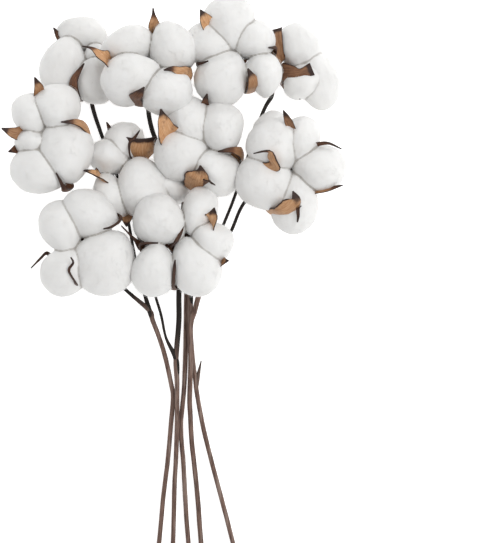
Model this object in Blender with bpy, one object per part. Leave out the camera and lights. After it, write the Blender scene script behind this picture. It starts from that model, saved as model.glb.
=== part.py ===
"""Cotton stem bunch: ten open bolls on five forked stalks, lying on a surface.

Lengths in the tables are millimetres. Places are measured from the pinch, where the stalks
cross: X to the right, Y from the cut ends towards the bolls, Z up from the surface.
"""
import math

import bmesh
import bpy
from mathutils import Matrix, Vector, noise

MM = 0.001
PINCH = (5.05, -31.35)        # the pinch in the part's own frame
GAP = 0.3                     # clear space between a twig and the foot of its husk
COTTON_GAP = 1.0              # clear space round cotton, before its facets are thinned out
REACH = 100.0                 # two bolls touch only where their eyes lie nearer than this
WELD = 1e-6                   # metres
SOLVER = "MANIFOLD"           # EXACT leaves a few open edges where the locks meet the valves

# One lock, which is a tuft of cotton.
LOCK_HEIGHT = 37.5            # its thickness along the boll's axis, where the boll has no "tall"
LOCK_MIDDLE = 18.5            # height of its middle above the foot of the husk
LOCK_DROOP = 3.0              # how far its wide end hangs down
LOCK_LUMP = 0.9               # how uneven its surface is
LOCK_LUMP_PITCH = 1.4         # how many of its lumps lie across it
LOCK_TAPER = (0.2, 0.1)       # how its width grows and rounds off towards its wide end
LOCK_SEGMENTS = (12, 8)
COTTON_TRIANGLES = 940
THINNING_STEP = 14
EYE_HEIGHT = 33.0             # from the foot of the husk to where the locks meet in front

# The husk: a shallow cup with pointed valves.
CUP_PROFILE = ((3.1, 0.0), (6.2, 0.7), (8.6, 2.2), (7.6, 3.4))
CUP_TOP = 3.8
CUP_SIDES = 8
VALVE_START = (4.0, 1.8, 5.5)   # radius, height and width where a valve leaves the cup
VALVE_UNDER = (0.62, 2.6, 0.7)  # under the cotton: share of the first point's place, height
                                # and share of its width
VALVE_THICK = 0.85
VALVE_RIDGE = 0.7             # the seam that stands up along its inner face
VALVE_TIP_WIDTH = 0.9
VALVE_CUPPING = 0.17          # how far its edges curl inwards, in shares of its width
VALVE_TWISTING = (0.15, 0.5)  # the stretch over which it twists, in shares of its length
VALVE_STEP = 8.0              # length of one facet ring to the next

SEAT_PROFILE = ((21.0, -3.0), (18.0, 3.4), (12.0, 5.6))   # the hollow under the cotton
SEAT_TOP = 5.0
SEAT_SIDES = 12

SURFACE_SIZE = (400.0, 700.0, 40.0)

STEM_STEP = 16.0              # length of one facet ring to the next
LEAD_IN = ((5.0, 1.6), (2.2, 1.8), (GAP, 2.3))   # depth under a husk, and the twig's radius

# Each boll: where its locks meet (x, y, z) and which way it faces; then its locks and its
# valves in the boll's own frame, from the foot of its husk. A lock is (x, y, length, width,
# turn, drop): an egg with its wide end along its turn. A valve is (twist, (x, y, z, width),
# ...): degrees of twist towards its tip, and its way from the cup to its tip. Earlier bolls
# lie in front of later ones.
BOLLS = {
    "10": dict(eye=(-1.3, 102.1, 71), facing=(0.0, 0.04, 1.0),
               locks=((-13, 12, 36.5, 33.5, 150, 0), (12, 18, 33.5, 23.5, 70, 3),
                      (21.5, -1.5, 31.5, 26.5, -35, 2), (9.5, -18, 40.5, 31.5, -65, 0),
                      (-16, -19, 35.5, 29.5, -100, 0.5)),
               valves=((0, (-26, -4, 10, 11), (-30, 0, 20, 6), (-37, 7.5, 25, 0.7)),
                       (0, (-24, -8, 12, 5), (-21, -4.6, 29, 2.5), (-14, -3.8, 34, 0.7)),
                       (0, (-4, -32, 6, 7), (-4, -29, 22, 2.8), (-3.4, -21, 32, 2.2),
                        (-3.2, -13.5, 36, 0.7)),
                       (0, (21, -17, 6, 11), (26, -16.5, 18, 9), (31.5, -14.3, 26, 0.8)),
                       (0, (18, 10, 8, 10), (22.5, 14, 20, 10), (22.8, 21, 28, 0.8)),
                       (0, (3.5, 24, 8, 9), (3, 17, 22, 5), (1, 4, 29, 4),
                        (-4.5, -5, 32, 0.8)))),
    "08": dict(eye=(69.9, 141.8, 70), facing=(0.0, -0.06, 1.0),
               locks=((-11.5, 17.5, 35.5, 34.5, 120, 0), (-13, 28.5, 30.5, 26.5, 115, 8),
                      (4.5, 25, 31.5, 23.5, 80, 4), (16.5, 3.5, 33.5, 29.5, -5, 0),
                      (-17.5, -6.5, 38.5, 34.5, 145, 0), (1, -18.5, 40.5, 29.5, -97, 1)),
               valves=((0, (-27, 9, 10, 11), (-19.5, 5, 28, 8), (-12, 5.5, 36, 8),
                        (-12.5, 11.5, 40, 5.5), (-18.3, 13.5, 41, 3.5), (-26, 13.2, 40, 0.7)),
                       (0, (-0.6, 24, 12, 8), (-0.6, 29, 25, 6), (-3, 36, 31, 5.5),
                        (-5.7, 41, 35, 0.7)),
                       (0, (10.7, 18, 10, 9), (17, 20.5, 22, 5), (24.6, 20.8, 27, 3.5),
                        (31.5, 16.4, 28, 0.7)),
                       (0, (9, -10, 8, 10), (14.5, -11, 20, 6), (23.5, -9.1, 26, 4.5),
                        (32, -6.5, 28, 0.7)),
                       (0, (-16, -25, 6, 12), (-10, -24, 25, 9), (-2, -22.5, 34, 11),
                        (2.8, -18, 38, 8), (1.3, -12.5, 39, 3.5), (0, -9, 39, 0.7)))),
    "07": dict(eye=(14.5, 156.2, 62), facing=(0.02, 0.0, 1.0),
               locks=((10.5, 15, 34.5, 28.5, 100, 0), (-10.5, 19, 35.5, 27.5, 108, 2),
                      (-15, -1, 34.5, 33.5, 187, 0), (8, -12, 33.5, 28.5, -40, 1)),
               valves=((0, (-20, 10, 8, 14), (-23, 14, 21, 16), (-25.5, 20, 28, 10),
                        (-28, 27, 33, 0.8)),
                       (0, (-8, -23, 8, 14), (-7, -19, 23, 14), (-4.4, -14.5, 33, 8),
                        (-3, -8.5, 38, 0.7)),
                       (0, (24, -4, 9, 17), (23.5, -0.5, 22, 11), (17, 0.9, 29, 4),
                        (8.8, 0.9, 34, 0.7)),
                       (0, (0.6, 27, 10, 8), (0.6, 32, 23, 5), (1.9, 36.5, 30, 0.8)))),
    "02": dict(eye=(-20.2, 216.1, 65), facing=(0.0, 0.34, 0.94),
               locks=((-14, 14.5, 35.5, 21.5, 15, 1), (14, 12, 33.5, 29.5, -67, 0),
                      (-12, -9, 38.5, 33.5, 200, -3), (10.5, -18, 34.5, 27.5, 30, 1)),
               valves=((0, (3, 21, 10, 5), (3, 25, 22, 7.5), (2.3, 31, 27, 2.2),
                        (2, 34, 30, 0.7)),
                       (0, (-25, 2, 8, 12), (-30, 1, 17, 15), (-33.8, 3.5, 23, 10),
                        (-36.5, 7, 28, 3), (-42.2, 8.2, 29, 0.7)),
                       (0, (26, -5, 8, 12), (25.8, -7.4, 20, 8), (20.2, -8.6, 30, 6.5),
                        (15, -9.4, 34, 3.5), (10.4, -10.4, 36, 0.7)),
                       (0, (-8, -24, 8, 12), (-8.6, -26, 21, 11), (-6.3, -24, 29, 6),
                        (-4.1, -20.4, 35, 0.7)))),
    "09": dict(eye=(-61.7, 98.5, 67), facing=(0.0, 0.03, 1.0),
               locks=((3, 19, 39.5, 32.5, 168, 0), (-15, 9.5, 34.5, 28.5, 108, 2),
                      (-12, -16.5, 34.5, 29.5, 235, 2), (13, -11.5, 43.5, 37.5, 235, -1)),
               valves=((0, (-22, -7, 7, 7), (-26, -8.4, 17, 2.6), (-28.5, -11.6, 21, 1.6),
                        (-34, -15.4, 22, 0.7)),
                       (0, (-6, -28, 7, 9), (-5.7, -25, 28, 2.2), (-10, -18, 36, 1.8),
                        (-7, -12.2, 38, 1.5), (-7.9, -8.8, 39, 0.7)),
                       (0, (13, -27, 8, 10), (17, -31, 17, 6), (21, -33, 22, 0.8)),
                       (0, (20, 18, 9, 8), (23.5, 16, 22, 3), (20.5, 11.5, 30, 1.8),
                        (12.5, 9, 34, 0.7)))),
    "05": dict(eye=(-84.4, 167.0, 54), facing=(-0.04, 0.04, 1.0),
               locks=((5.5, 18, 33.5, 30.5, 105, 0), (-12, 14, 28.5, 24.5, 115, 4),
                      (-11, -3.5, 23.5, 16.5, 185, 4), (11, -9.5, 41.5, 34.5, 97, -2),
                      (-7.5, -22, 36.5, 29.5, 155, 1)),
               valves=((0, (-6, 21, 10, 5), (-6.3, 27, 20, 5), (-5.9, 31, 25, 5.5),
                        (-8.6, 36.5, 30, 0.7)),
                       (0, (-16, 0.6, 6, 9), (-20, 0.8, 17, 9.5), (-24.5, 2.5, 23, 6),
                        (-29.3, 3.8, 27, 0.7)),
                       (0, (-16, -7, 6, 8), (-20.5, -7.9, 15, 7), (-26, -10, 22, 0.7)),
                       (0, (26, -6.3, 7, 10), (26.8, -0.6, 19, 5.5), (24.5, 5.7, 27, 6),
                        (17.6, 8.5, 33, 4), (7.6, 8.2, 38, 0.7)),
                       (0, (10, -32, 7, 9), (11.3, -32.8, 20, 4), (8.2, -29, 29, 3),
                        (5, -24, 34, 0.7)))),
    "03": dict(eye=(32.4, 220.2, 57), facing=(0.0, 0.1, 1.0),
               locks=((-1.5, 18.5, 36.5, 30.5, 97, 0), (-15.5, 6, 31.5, 26.5, 165, 1),
                      (-7, -15.5, 36.5, 33.5, 235, -1), (13.5, 8.5, 29.5, 25.5, 25, 2),
                      (19, -12, 31.5, 26.5, -80, 1)),
               valves=((0, (-14, 13, 8, 13), (-15.6, 18, 20, 13), (-18, 22.5, 27, 7),
                        (-20.9, 26.6, 32, 0.7)),
                       (0, (-22, -7, 8, 7), (-23.7, -7.4, 22, 2.6), (-19.8, -7.2, 31, 1.5),
                        (-15.7, -6.6, 35, 0.7)),
                       (0, (12, -25, 7, 10), (13, -23.5, 18, 9), (12.3, -18, 28, 7),
                        (8.8, -11, 35, 0.7)),
                       (0, (-15, -30, 7, 7), (-14.7, -30.3, 18, 3), (-12, -28.3, 24, 2),
                        (-10.6, -24.6, 29, 0.7)),
                       (0, (28, 2.2, 8, 8), (28, 1.9, 20, 4), (22.4, 2.4, 28, 0.7)))),
    "06": dict(eye=(-36.5, 151.2, 50), facing=(-0.14, 0.2, 0.97),
               locks=((-3, 15, 27.5, 25.5, 85, 4), (-12, 6, 27.5, 22.5, 160, 2),
                      (-11.5, -18, 32.5, 23.5, -65, 3), (10, -14, 39.5, 34.5, -75, 0),
                      (27, -14, 22.5, 17.5, 0, 9)),
               valves=((-70, (11, 2, 5, 12), (11, 5, 17, 17), (11, 9.5, 24, 18),
                        (10.5, 14, 28, 15), (10.3, 18.9, 31, 0.8)),
                       (0, (-15, -5, 6, 9), (-19.5, -6.8, 20, 11), (-23.5, -7, 27, 5),
                        (-28.5, -6, 30, 0.7)),
                       (0, (-11, 20, 10, 6), (-11.6, 23, 21, 3.4), (-12.7, 26.2, 28, 0.7)),
                       (0, (-2.5, -26, 5, 11), (-0.9, -33, 13, 9), (-0.2, -39.8, 18, 0.8)))),
    "01": dict(eye=(-61.1, 216.1, 37.8), facing=(-0.08, 0.45, 0.89), tall=30.5,
               locks=((-5, 26.5, 33.5, 20.5, -8, 1), (-16, 3.5, 38.5, 30.5, 257, 0),
                      (2.5, -8.5, 28.5, 24.5, -82, 2), (4, 11, 18.5, 15.5, 60, 6)),
               valves=((0, (-17, 23, 8, 6), (-19.8, 23.2, 18, 3.6), (-21.6, 25.3, 25, 0.7)),
                       (0, (-8.5, -13, 6, 8), (-10.4, -12.9, 18, 6.5), (-7.9, -9.8, 27, 5),
                        (-0.9, -2.5, 33, 0.7)),
                       (0, (5, -16, 5, 7), (8, -19, 12, 0.8)))),
    "04": dict(eye=(92.0, 212.6, 27.2), facing=(0.96, 0.19, 0.1), tall=29.5,
               locks=((-2, 13.5, 31.5, 30.5, 90, 2), (-3, -10, 24.5, 28.5, -90, 1.5),
                      (4, -9, 40.5, 30.5, 90, -6), (11, 6, 30.5, 28.5, 70, 0)),
               valves=((0, (-10, -3.5, 4, 13), (-16, -5.7, 9.8, 10), (-18, -7.4, 16.4, 5),
                        (-18, -5.6, 24.5, 8)),
                       (0, (-6, 6.7, 3.4, 5), (-8, 13, 4, 4.5), (-8, 19, 4.2, 5.5),
                        (-8, 25.5, 5.3, 7.5)),
                       (0, (-4, -10, 2.5, 8), (-4, -15.5, 6.4, 5), (-4, -20, 12.2, 0.8)),
                       (0, (12, 4, 4, 12), (20, 6, 12, 9), (22, 8, 22, 0.8)))),
}

# Each stalk: its way from the cut end to its fork, then the ways on to two bolls.
# A point is (x, y, z, radius).
STEMS = {
    "1": dict(stalk=((-24.2, -186, 1.3, 1.5), (-15.1, -90, 3.4, 1.5), (-12.6, -63, 4.3, 1.5),
                     (-9.8, -40, 5.4, 1.5), (-8.0, -20, 6.4, 1.5), (-6.4, 0, 7.4, 1.5),
                     (-7.6, 9, 7.9, 1.5), (-11.3, 26, 8.7, 1.5), (-15.1, 38.5, 9.3, 1.5),
                     (-19.5, 50, 9.8, 1.6), (-21.4, 56, 10.0, 1.6)),
              ways={"09": ((-32.8, 66, 13, 1.2), (-41, 73.7, 17, 1.1), (-51, 85, 23.5, 1.3)),
                    "01": ((-25.5, 70, 9, 1.1), (-30.2, 87, 7.5, 1.0), (-39.1, 132, 4, 1.0),
                           (-51, 165, 3, 1.2), (-58.3, 187.7, 3.6, 1.4))}),
    "2": dict(stalk=((-9.5, -192, 1.3, 1.5), (-6.3, -90, 3.6, 1.5), (-5.5, -57, 5.2, 1.5),
                     (-4.6, -40, 6.6, 1.5), (-3.8, -17, 9.0, 1.5), (-3.8, -1.3, 10.6, 1.5),
                     (-3.8, 11, 11.5, 1.6), (-4.4, 25, 12.0, 1.7)),
              ways={"02": ((-2.6, 50, 12, 1.7), (-2.5, 69, 11, 1.7), (-0.6, 100, 9, 1.7),
                           (0, 132, 8, 1.6), (-8, 150, 8.2, 1.5), (-17.6, 165.7, 10, 1.5),
                           (-21.8, 182, 16, 1.5), (-20.8, 195, 26, 1.6)),
                    "05": ((-10.7, 38.4, 13, 0.9), (-13.9, 53, 13, 0.9), (-17.9, 66.5, 12.5, 0.9),
                           (-27, 98, 11, 0.9), (-35.9, 126, 9, 0.9), (-51.7, 151, 10, 1.0),
                           (-66, 159.5, 12.5, 1.3), (-76, 163.5, 16, 1.5))}),
    "3": dict(stalk=((11, -180, 1.3, 1.5), (3.2, -90, 3.6, 1.5), (1.7, -69, 4.2, 1.5),
                     (0.3, -43, 5.0, 1.5), (-0.9, -29, 5.6, 1.5), (-1.4, -17, 6.2, 1.5),
                     (-0.4, -5.7, 7.1, 1.5), (0.7, 6.3, 7.7, 1.5), (1.5, 25, 6.2, 1.6),
                     (1.9, 44, 5.0, 1.6), (2.3, 67, 4.6, 1.6), (3.2, 78, 4.6, 1.6)),
              ways={"07": ((4.2, 110, 6.5, 1.3), (5.0, 128, 9.5, 1.3), (8.5, 143, 16, 1.4)),
                    "03": ((8, 105, 3.6, 1.2), (12.5, 150, 4, 1.2), (15, 190, 8, 1.3),
                           (23, 204, 13, 1.5))}),
    "4": dict(stalk=((19.5, -188, 1.4, 1.6), (11.3, -90, 4.0, 1.6), (9.8, -69, 4.8, 1.6),
                     (7.6, -46, 6.0, 1.6), (5.7, -29, 7.4, 1.6), (4.7, -11, 9.0, 1.6),
                     (4.3, 0, 9.9, 1.6), (5.0, 24, 11.9, 1.6), (4.9, 46, 12.5, 1.7),
                     (7.6, 56, 12.5, 1.7), (11.3, 70, 12.2, 1.7), (15.5, 84, 12, 1.7)),
              ways={"08": ((24, 96, 13, 1.3), (30.9, 107, 14.5, 1.1), (39.1, 124.7, 19, 1.1),
                           (54, 137, 27, 1.3)),
                    "04": ((20.5, 98, 10.5, 1.1), (26.5, 112.5, 9, 1.0), (34, 131.7, 7.5, 1.0),
                           (50.4, 180.8, 11, 1.2), (57, 194, 17, 1.4))}),
    "5": dict(stalk=((52, -174, 1.3, 1.5), (31.2, -90, 3.6, 1.5), (25.8, -69, 4.4, 1.5),
                     (18.9, -43, 5.4, 1.5), (13.2, -20, 6.4, 1.5), (9.2, 1.3, 7.3, 1.5),
                     (8.0, 11, 7.8, 1.5), (6.6, 22, 8.3, 1.5), (5.1, 40, 8.7, 1.5),
                     (5.0, 56, 9.5, 1.5), (4.9, 66, 11, 1.5)),
              ways={"10": ((4.2, 78, 17, 1.4), (1.8, 90, 26.5, 1.4)),
                    "06": ((2, 78, 15.2, 1.2), (-9, 98, 16.5, 1.1), (-21, 124, 14, 1.2))},
              spur=((8.6, 7, 7.6, 1.3), (9.6, 14, 7.8, 1.3), (11.7, 24, 8.6, 0.35))),
}

MATERIALS = {
    "cotton": dict(color=(0.90, 0.895, 0.88, 1), roughness=0.95),
    "husk": dict(color=(0.32, 0.16, 0.075, 1), roughness=0.62),
    "bark": dict(color=(0.095, 0.062, 0.048, 1), roughness=0.78),
}


def clear_scene():
    for item in list(bpy.data.objects):
        bpy.data.objects.remove(item)


def make_materials():
    made = {}
    for name, look in MATERIALS.items():
        material = bpy.data.materials.new(name)
        material.use_nodes = True
        shader = material.node_tree.nodes["Principled BSDF"]
        shader.inputs["Base Color"].default_value = look["color"]
        shader.inputs["Roughness"].default_value = look["roughness"]
        shader.inputs["Metallic"].default_value = 0.0
        made[name] = material
    return made


def add_object(name, bm):
    """Turn a bmesh in millimetres from the pinch into an object in metres in the part's frame."""
    bmesh.ops.triangulate(bm, faces=bm.faces)
    if bm.calc_volume(signed=True) < 0:
        bmesh.ops.reverse_faces(bm, faces=bm.faces)
    bm.transform(Matrix.Scale(MM, 4) @ Matrix.Translation((*PINCH, 0)))
    mesh = bpy.data.meshes.new(name)
    bm.to_mesh(mesh)
    bm.free()
    item = bpy.data.objects.new(name, mesh)
    bpy.context.scene.collection.objects.link(item)
    return item


def boolean(target, tools, operation):
    """Apply one Boolean of a whole collection to the target, and remove the collection."""
    group = bpy.data.collections.new("tools")
    bpy.context.scene.collection.children.link(group)
    for tool in tools:
        group.objects.link(tool)
    modifier = target.modifiers.new("Boolean", "BOOLEAN")
    modifier.operation = operation
    modifier.operand_type = "COLLECTION"
    modifier.collection = group
    modifier.solver = SOLVER
    depsgraph = bpy.context.evaluated_depsgraph_get()
    mesh = bpy.data.meshes.new_from_object(target.evaluated_get(depsgraph))
    target.modifiers.clear()
    target.data = mesh
    for tool in tools:
        bpy.data.objects.remove(tool)
    bpy.data.collections.remove(group)


def keep_largest_body(item):
    """Drop the loose scraps that a cut leaves behind."""
    bm = bmesh.new()
    bm.from_mesh(item.data)
    waiting = set(bm.verts)
    bodies = []
    while waiting:
        body = {waiting.pop()}
        edge = list(body)
        while edge:
            near = {e.other_vert(v) for v in edge for e in v.link_edges} & waiting
            waiting -= near
            body |= near
            edge = list(near)
        bodies.append(body)
    bodies.sort(key=len)
    scraps = [vert for body in bodies[:-1] for vert in body]
    bmesh.ops.delete(bm, geom=scraps, context="VERTS")
    bm.to_mesh(item.data)
    bm.free()


def is_closed(mesh):
    """Whether every edge joins two faces."""
    bm = bmesh.new()
    bm.from_mesh(mesh)
    closed = all(edge.is_manifold for edge in bm.edges)
    bm.free()
    return closed


def thin_out(item, triangles):
    """Bring a cut body down to about this many triangles, the first count that keeps it closed."""
    bm = bmesh.new()
    bm.from_mesh(item.data)
    bmesh.ops.triangulate(bm, faces=bm.faces)
    bmesh.ops.dissolve_degenerate(bm, dist=WELD, edges=bm.edges)
    bmesh.ops.triangulate(bm, faces=bm.faces)
    full = len(bm.faces)
    bm.to_mesh(item.data)
    bm.free()
    modifier = item.modifiers.new("Decimate", "DECIMATE")
    for count in range(triangles, full, THINNING_STEP):
        modifier.ratio = count / full
        depsgraph = bpy.context.evaluated_depsgraph_get()
        mesh = bpy.data.meshes.new_from_object(item.evaluated_get(depsgraph))
        if is_closed(mesh):
            break
    item.modifiers.clear()
    item.data = mesh


def boll_frame(boll):
    """The boll's own frame: origin at the foot of its husk, +Z the way it faces."""
    facing = Vector(boll["facing"]).normalized()
    foot = Vector(boll["eye"]) - facing * EYE_HEIGHT
    turn = Vector((0, 0, 1)).rotation_difference(facing)
    return Matrix.Translation(foot) @ turn.to_matrix().to_4x4()


def lock_bmesh(lock, boll, seed, grow=0.0):
    """One tuft: an egg that droops at its wide end and is a little uneven."""
    x, y, length, width, turn, drop = lock
    grows, rounds = LOCK_TAPER
    segments, rings = LOCK_SEGMENTS
    bm = bmesh.new()
    bmesh.ops.create_uvsphere(bm, u_segments=segments, v_segments=rings, radius=1.0)
    for vert in bm.verts:
        out, side, up = vert.co
        bump = LOCK_LUMP * noise.noise(vert.co * LOCK_LUMP_PITCH + Vector((seed, turn, 0)))
        bump += grow
        vert.co = (out * (length / 2 + bump),
                   side * (width / 2 * (1 + grows * out - rounds * out * out) + bump),
                   up * (boll.get("tall", LOCK_HEIGHT) / 2 + bump)
                   - LOCK_DROOP * ((1 + out) / 2) ** 2)
    bm.transform(boll_frame(boll) @ Matrix.Translation((x, y, LOCK_MIDDLE - drop))
                 @ Matrix.Rotation(math.radians(turn), 4, "Z"))
    return bm


def smooth_way(points, step):
    """Points about a step apart on a smooth curve through the given ones."""
    given = [Vector(p) for p in points]
    padded = [given[0] * 2 - given[1]] + given + [given[-1] * 2 - given[-2]]
    way = []
    for a, b, c, d in zip(padded, padded[1:], padded[2:], padded[3:]):
        count = max(1, round((c.xyz - b.xyz).length / step))
        for i in range(count):
            t = i / count
            way.append(((b * 2) + (c - a) * t + (a * 2 - b * 5 + c * 4 - d) * t * t
                        + (b * 3 - a - c * 3 + d) * t * t * t) / 2)
    way.append(given[-1])
    return way


def eased(value, low, high):
    """0 before low, 1 past high, and a smooth step between them."""
    part = min(max((value - low) / (high - low), 0), 1)
    return part * part * (3 - 2 * part)


def valve_way(points):
    """Out of the cup, under the cotton, and on through the given points."""
    first = Vector(points[0])
    radius, height, width = VALVE_START
    share, low, narrow = VALVE_UNDER
    start = (*(first.xy.normalized() * radius), height, width)
    under = (*(first.xy * share), low, first.w * narrow)
    return smooth_way((start, under, *points), VALVE_STEP)


def valve_bmesh(valve, frame, grow=0.0):
    """One pointed valve: a cupped blade with a seam along its inner face."""
    twist, *points = valve
    way = valve_way(points)
    across = Vector((-way[0].y, way[0].x, 0))
    bm = bmesh.new()
    rings = []
    for i, spot in enumerate(way):
        onward = (way[min(i + 1, len(way) - 1)].xyz - way[max(i - 1, 0)].xyz).normalized()
        across = (across - onward * across.dot(onward)).normalized()
        along = i / (len(way) - 1)
        turn = math.radians(twist) * eased(along, *VALVE_TWISTING)
        sideways = Matrix.Rotation(turn, 3, onward) @ across
        inward = onward.cross(sideways)
        half = max(spot.w, VALVE_TIP_WIDTH) / 2
        cup = VALVE_CUPPING * half * 2
        ridge = VALVE_RIDGE * (1 - along)
        outline = ((-half - grow, cup - grow), (0, -grow), (half + grow, cup - grow),
                   (half + grow, cup + VALVE_THICK + grow), (0, VALVE_THICK + ridge + grow),
                   (-half - grow, cup + VALVE_THICK + grow))
        middle = spot.xyz + onward * along * grow
        rings.append([bm.verts.new(middle + sideways * side + inward * lift)
                      for side, lift in outline])
    for ring, following in zip(rings, rings[1:]):
        for i in range(6):
            j = (i + 1) % 6
            bm.faces.new((ring[i], ring[j], following[j], following[i]))
    bm.faces.new(reversed(rings[0]))
    bm.faces.new(rings[-1])
    bm.transform(frame)
    return bm


def turned_bmesh(profile, top_height, sides, frame):
    """A turned solid: a flat foot, the profile's rings from below, and a low point on top."""
    bm = bmesh.new()
    rings = [[bm.verts.new((math.cos(math.tau * i / sides) * radius,
                            math.sin(math.tau * i / sides) * radius, height))
              for i in range(sides)] for radius, height in profile]
    for ring, following in zip(rings, rings[1:]):
        for i in range(sides):
            j = (i + 1) % sides
            bm.faces.new((ring[i], ring[j], following[j], following[i]))
    bm.faces.new(reversed(rings[0]))
    top = bm.verts.new((0, 0, top_height))
    for i in range(sides):
        bm.faces.new((rings[-1][i], rings[-1][(i + 1) % sides], top))
    bm.transform(frame)
    return bm


def valve_pieces(boll, grow=0.0):
    frame = boll_frame(boll)
    return [add_object("valve", valve_bmesh(valve, frame, grow)) for valve in boll["valves"]]


def husk_room(boll):
    """What a husk keeps clear of cotton: the hollow over its cup, and its valves with a gap."""
    seat = turned_bmesh(SEAT_PROFILE, SEAT_TOP, SEAT_SIDES, boll_frame(boll))
    return [add_object("seat", seat)] + valve_pieces(boll, COTTON_GAP)


def lock_pieces(key, grow=0.0):
    boll = BOLLS[key]
    return [add_object("lock", lock_bmesh(lock, boll, int(key), grow))
            for lock in boll["locks"]]


def twig(points, grow=0.0):
    """A round twig along the points, with flat ends."""
    curve = bpy.data.curves.new("twig", "CURVE")
    curve.dimensions = "3D"
    curve.bevel_depth = MM
    curve.bevel_resolution = 1
    curve.use_fill_caps = True
    spline = curve.splines.new("POLY")
    way = smooth_way(points, STEM_STEP)
    spline.points.add(len(way) - 1)
    for point, (x, y, z, radius) in zip(spline.points, way):
        point.co = ((x + PINCH[0]) * MM, (y + PINCH[1]) * MM, z * MM, 1)
        point.radius = radius + grow
    item = bpy.data.objects.new("twig", curve)
    bpy.context.scene.collection.objects.link(item)
    depsgraph = bpy.context.evaluated_depsgraph_get()
    mesh = bpy.data.meshes.new_from_object(item.evaluated_get(depsgraph))
    bpy.data.objects.remove(item)
    bm = bmesh.new()
    bm.from_mesh(mesh)
    bmesh.ops.remove_doubles(bm, verts=bm.verts, dist=WELD)
    bmesh.ops.triangulate(bm, faces=bm.faces)
    bm.to_mesh(mesh)
    bm.free()
    solid = bpy.data.objects.new("twig", mesh)
    bpy.context.scene.collection.objects.link(solid)
    return solid


def way_to_boll(points, boll):
    """Lead a twig up to the foot of its husk, along the way that the boll faces."""
    frame = boll_frame(boll)
    ends = []
    for depth, radius in LEAD_IN:
        ends.append((*(frame @ Vector((0, 0, -depth))), radius))
    return tuple(points) + tuple(ends)


def stem_pieces(stem, grow=0.0):
    stalk = stem["stalk"]
    (first, first_way), (second, second_way) = stem["ways"].items()
    pieces = [twig(stalk + way_to_boll(first_way, BOLLS[first]), grow),
              twig(stalk[-1:] + way_to_boll(second_way, BOLLS[second]), grow)]
    if "spur" in stem:
        pieces.append(twig(stem["spur"], grow))
    return pieces


def finish(item, name, material):
    item.name = name
    item.data.name = name
    item.data.materials.clear()
    item.data.materials.append(material)
    item.data.shade_smooth()
    item.data.set_sharp_from_angle(angle=math.radians(40))


def surface_block():
    """The room under the surface, which flattens what would sink into it."""
    bm = bmesh.new()
    bmesh.ops.create_cube(bm, size=1.0)
    size = Vector(SURFACE_SIZE)
    bm.transform(Matrix.Translation((0, 0, -size.z / 2)) @ Matrix.Diagonal((*size, 1)))
    return add_object("surface", bm)


def make_husk(key, materials):
    boll = BOLLS[key]
    cup = add_object("cup", turned_bmesh(CUP_PROFILE, CUP_TOP, CUP_SIDES, boll_frame(boll)))
    boolean(cup, valve_pieces(boll), "UNION")
    finish(cup, f"husk_{key}", materials["husk"])


def make_stem(key, materials):
    main, *others = stem_pieces(STEMS[key])
    boolean(main, others, "UNION")
    finish(main, f"stem_{key}", materials["bark"])


def make_cotton(key, materials):
    """Fuse the locks, then clear them of the husks, the stalks and the bolls in front."""
    first, *others = lock_pieces(key)
    boolean(first, others, "UNION")
    cutters = [surface_block()]
    middle = Vector(BOLLS[key]["eye"])
    keys = list(BOLLS)
    for other in keys:
        if (Vector(BOLLS[other]["eye"]) - middle).length > REACH:
            continue
        cutters += husk_room(BOLLS[other])
        if keys.index(other) < keys.index(key):
            cutters += lock_pieces(other, COTTON_GAP)
    for stem in STEMS.values():
        cutters += stem_pieces(stem, COTTON_GAP)
    boolean(first, cutters, "DIFFERENCE")
    keep_largest_body(first)
    thin_out(first, COTTON_TRIANGLES)
    finish(first, f"cotton_{key}", materials["cotton"])


def main():
    clear_scene()
    materials = make_materials()
    for key in STEMS:
        make_stem(key, materials)
    for key in BOLLS:
        make_husk(key, materials)
    for key in BOLLS:
        make_cotton(key, materials)


main()
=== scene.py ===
# Cotton stem bunch: the finish of every surface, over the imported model.
# Lengths in the tables are millimetres, measured from the pinch, where the stalks cross.
import math

import bmesh
import bpy
from mathutils import Matrix, Vector, noise


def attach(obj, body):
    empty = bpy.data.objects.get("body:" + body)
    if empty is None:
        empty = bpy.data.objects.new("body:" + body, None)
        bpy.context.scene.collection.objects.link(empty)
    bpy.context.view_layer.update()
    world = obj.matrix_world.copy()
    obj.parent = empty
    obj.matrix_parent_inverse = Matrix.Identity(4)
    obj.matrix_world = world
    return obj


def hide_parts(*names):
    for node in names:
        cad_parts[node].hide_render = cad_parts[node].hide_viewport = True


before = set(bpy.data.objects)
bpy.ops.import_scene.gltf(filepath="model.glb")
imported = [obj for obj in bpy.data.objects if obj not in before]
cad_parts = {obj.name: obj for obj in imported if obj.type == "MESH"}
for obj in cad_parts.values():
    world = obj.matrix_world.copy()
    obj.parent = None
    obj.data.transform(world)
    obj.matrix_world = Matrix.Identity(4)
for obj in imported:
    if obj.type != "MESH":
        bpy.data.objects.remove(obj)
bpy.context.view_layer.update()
mm = 0.001
pinch = (5.05, -31.35)   # the pinch in the part's own frame

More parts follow.
